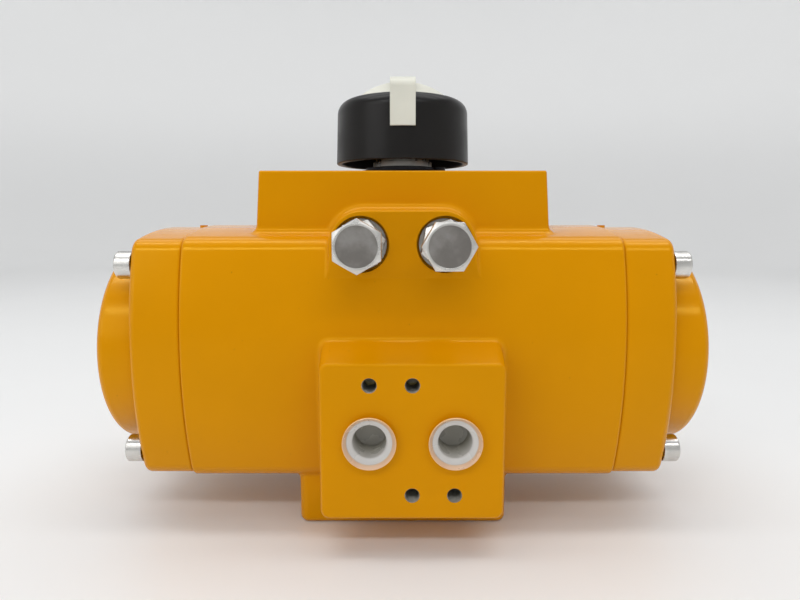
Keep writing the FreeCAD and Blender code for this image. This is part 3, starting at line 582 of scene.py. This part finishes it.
def port_plug(side, body):
    """Translucent plug: a thin flange flared outwards round a collar and a deep recess."""
    name = "port_plug_" + side
    low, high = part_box(name)
    face = mounts["valve_pad_bolts_upper"]["pos_m"][1]
    flange = (high.x - low.x) / 2
    stem = flange - 1.9 * MM
    top = face - low.y
    depth = high.y - face
    collar = flange - 1.2 * MM
    bore = flange - 2.8 * MM
    profile = [
        (0.0, -depth + 1.2 * MM),
        (bore - 0.8 * MM, -depth + 1.2 * MM),
        (bore - 0.35 * MM, -depth + 1.35 * MM),
        (bore - 0.2 * MM, -depth + 1.8 * MM),
        (bore, 0.1 * MM),
        (bore + 0.15 * MM, 0.45 * MM),
        (bore + 0.45 * MM, 0.7 * MM),
        (collar - 0.25 * MM, 0.95 * MM),
        (collar, 1.1 * MM),
        (collar + 0.1 * MM, 1.35 * MM),
        (flange - 0.3 * MM, top - 0.15 * MM),
        (flange - 0.15 * MM, top),
        (flange - 0.03 * MM, top - 0.08 * MM),
        (flange, top - 0.25 * MM),
        (flange - 0.1 * MM, top - 0.7 * MM),
        (flange - 0.6 * MM, 0.35 * MM),
        (flange - 1.0 * MM, 0.02 * MM),
        (stem, 0.02 * MM),
        (stem, -depth + 0.5 * MM),
        (stem - 0.4 * MM, -depth),
        (0.0, -depth),
    ]
    place = Vector(((low.x + high.x) / 2, face, (low.z + high.z) / 2))
    obj = turned_solid("plug_" + side, profile, place, FRONT)
    dress(obj, clear_look("clear_plastic_" + side, place, flange))
    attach(obj, body)
    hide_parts(name)


# ---------------------------------------------------------------- studio

def make_floor():
    """Pale floor that rises into a backdrop all round."""
    radius = 1.1
    bend = 0.5
    height = 1.5
    segments = 160
    profile = [(radius * step / 6, 0.0) for step in range(1, 7)]
    for step in range(1, 17):
        angle = math.pi / 2 * step / 16
        profile.append((radius + bend * math.sin(angle), bend * (1 - math.cos(angle))))
    profile.append((radius + bend, height))
    vertices = []
    for reach, level in profile:
        for index in range(segments):
            angle = math.tau * index / segments
            vertices.append((reach * math.cos(angle), reach * math.sin(angle), level - 0.05 * MM))
    faces = [tuple(reversed(face)) for face in grid_faces(len(profile), segments)]
    faces.append(tuple(range(segments)))
    mesh = bpy.data.meshes.new("floor")
    mesh.from_pydata(vertices, [], faces)
    for polygon in mesh.polygons:
        polygon.use_smooth = True
    floor = bpy.data.objects.new("floor", mesh)
    bpy.context.scene.collection.objects.link(floor)
    look = Look("floor", STUDIO_GREY, 0.42)
    look.vary_colour(0.006, 6.0, 3.0)
    height = look.vector_math("DOT_PRODUCT", look.place, tuple(UP))
    wall = look.ramp(height, 0.0, bend)
    look.set("Base Color", look.mix(wall, look.colour, BACKDROP_WHITE + (1.0,)))
    look.vary_roughness(0.34, 0.36, 20.0, 4.0)
    dress(floor, look.material)


def soft_light(name, place, target, width, depth, power, colour=(1.0, 1.0, 1.0)):
    """Rectangular light aimed at a point."""
    data = bpy.data.lights.new(name, "AREA")
    data.shape = "RECTANGLE"
    data.size = width
    data.size_y = depth
    data.energy = power
    data.color = colour
    light = bpy.data.objects.new(name, data)
    light.location = place
    light.rotation_euler = (Vector(target) - Vector(place)).to_track_quat("-Z", "Y").to_euler()
    bpy.context.scene.collection.objects.link(light)


def make_lights():
    """Two long tubes, a broad soft light above, a weak fill and a wash over the backdrop."""
    middle = (0.0, 0.0, 0.06)
    soft_light("overhead", (0.0, 0.05, 1.15), middle, 1.5, 1.1, 3.4)
    soft_light("tube_above", (0.0, -0.08, 1.10), middle, 1.6, 0.12, 3.6)
    soft_light("tube_front", (0.0, -0.90, 0.98), middle, 1.6, 0.12, 4.6)
    soft_light("fill_left", (-0.75, -0.70, 0.55), middle, 0.7, 0.6, 1.6)
    soft_light("backdrop_wash", (0.0, 0.50, 1.20), (0.0, 1.05, 0.0), 1.8, 0.5, 3.0)
    world = bpy.data.worlds.new("studio")
    world.use_nodes = True
    background = world.node_tree.nodes["Background"]
    background.inputs["Color"].default_value = (0.93, 0.96, 1.0, 1.0)
    background.inputs["Strength"].default_value = 0.35
    bpy.context.scene.world = world
    bpy.context.scene.view_settings.view_transform = "Standard"


def make_camera():
    """Camera close in front of the object, a little above its top."""
    data = bpy.data.cameras.new("camera")
    data.lens = CAMERA_LENS
    data.clip_start = CAMERA_CLIP
    camera = bpy.data.objects.new("camera", data)
    camera.location = CAMERA_PLACE
    camera.rotation_euler = (math.pi / 2 - CAMERA_PITCH, 0.0, 0.0)
    bpy.context.scene.collection.objects.link(camera)
    bpy.context.scene.camera = camera


# ---------------------------------------------------------------- scene

make_camera()
make_lights()
make_floor()

looks = make_looks()
slots = {part["node"]: part["material_slot"] for part in frame["record"]["subparts"]}
for node_name, node_object in nodes.items():
    dress(node_object, looks[slots[node_name]])
dress(nodes["body"], body_look())

for pattern in TAPPED_HOLES:
    tapped_threads(pattern)
for end in ("left", "right"):
    hex_screw(end, "stop_screw_" + end)
    port_plug(end, "plug_" + end)
